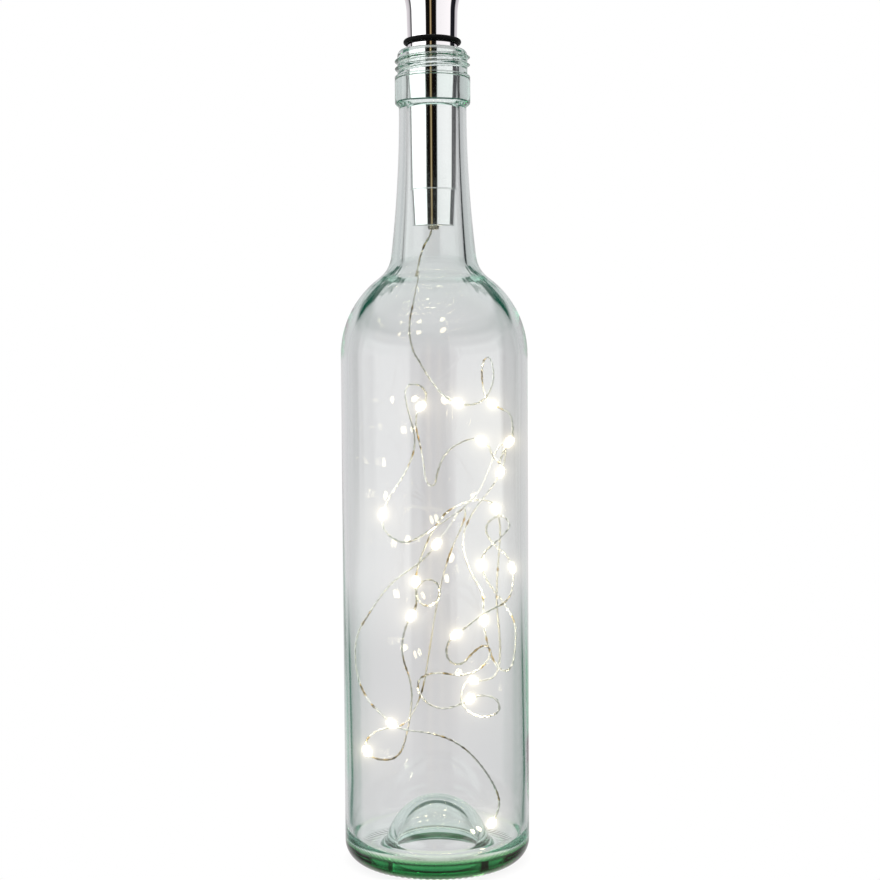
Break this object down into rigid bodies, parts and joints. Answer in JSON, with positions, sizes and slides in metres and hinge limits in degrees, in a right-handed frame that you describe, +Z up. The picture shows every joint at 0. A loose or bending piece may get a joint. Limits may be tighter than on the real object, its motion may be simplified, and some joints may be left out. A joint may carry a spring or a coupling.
{
  "type": "cork bottle light",
  "caption": "Clear screw-neck wine bottle with a long polished metal stopper that holds a cell and feeds a string of small warm lamps inside the glass.",
  "frame": {"origin": "middle of the bottle's base, at the height of its bearing ring", "axes": "+Z up the bottle's axis, the picture's camera looks along +Y, +X to its right"},
  "size_m": [0.0752, 0.0752, 0.3535],
  "materials": {
    "glass": "clear flint glass, faint green in the thick edges",
    "chrome": "polished",
    "rubber": "matt",
    "board": "solder mask",
    "ferrite": "matt",
    "chip_black": "matt",
    "ceramic": "matt",
    "contact_brass": "bright",
    "inner_plastic": "matt",
    "cell_can": "plain wrapper",
    "spring_steel": "plated",
    "wire_metal": "enamelled silver, warm in places",
    "lamp_resin": "clear resin drop, lit warm white",
    "lamp_phosphor": "lit"
  },
  "bodies": {
    "bottle": {"bottle": "glass", "string_wire": "wire_metal", "lamp_bead_01": "lamp_resin", "lamp_bead_02": "lamp_resin", "lamp_bead_03": "lamp_resin", "lamp_bead_04": "lamp_resin", "lamp_bead_05": "lamp_resin", "lamp_bead_06": "lamp_resin", "lamp_bead_07": "lamp_resin", "lamp_bead_08": "lamp_resin", "lamp_bead_09": "lamp_resin", "lamp_bead_10": "lamp_resin", "lamp_bead_11": "lamp_resin", "lamp_bead_12": "lamp_resin", "lamp_bead_13": "lamp_resin", "lamp_bead_14": "lamp_resin", "lamp_bead_15": "lamp_resin", "lamp_bead_16": "lamp_resin", "lamp_bead_17": "lamp_resin", "lamp_bead_18": "lamp_resin", "lamp_bead_19": "lamp_resin", "lamp_bead_20": "lamp_resin", "lamp_chips": "lamp_phosphor"},
    "stopper": {"stopper_barrel": "chrome", "stopper_nose": "chrome", "wire_gland": "rubber", "o_ring": "rubber", "driver_board": "board", "inductor": "ferrite", "driver_chip": "chip_black", "capacitor": "ceramic", "contact_post": "contact_brass", "contact_carrier": "inner_plastic", "cell": "cell_can", "lead_in_wire": "wire_metal"},
    "spring": {"contact_spring": "spring_steel"},
    "head": {"stopper_head": "chrome", "contact_disc": "contact_brass", "contact_insulator": "inner_plastic"}
  },
  "joints": [
    {"name": "stopper_lift", "type": "slide", "parent": "bottle", "child": "stopper", "axis": [0, 0, 1], "range_m": [0, 0.08], "deforming": ["lead_in_wire"]},
    {"name": "head_rise", "type": "slide", "parent": "stopper", "child": "spring", "axis": [0, 0, 1], "range_m": [0, 0.0045]},
    {"name": "head_turn", "type": "hinge", "parent": "spring", "child": "head", "pos_m": [0, 0, 0.3362], "axis": [0, 0, 1], "range_deg": [0, 1080]}
  ],
  "couplings": [
    {"joint": "head_rise", "follows": "head_turn", "m_per_rad": 0.00023873}
  ]
}
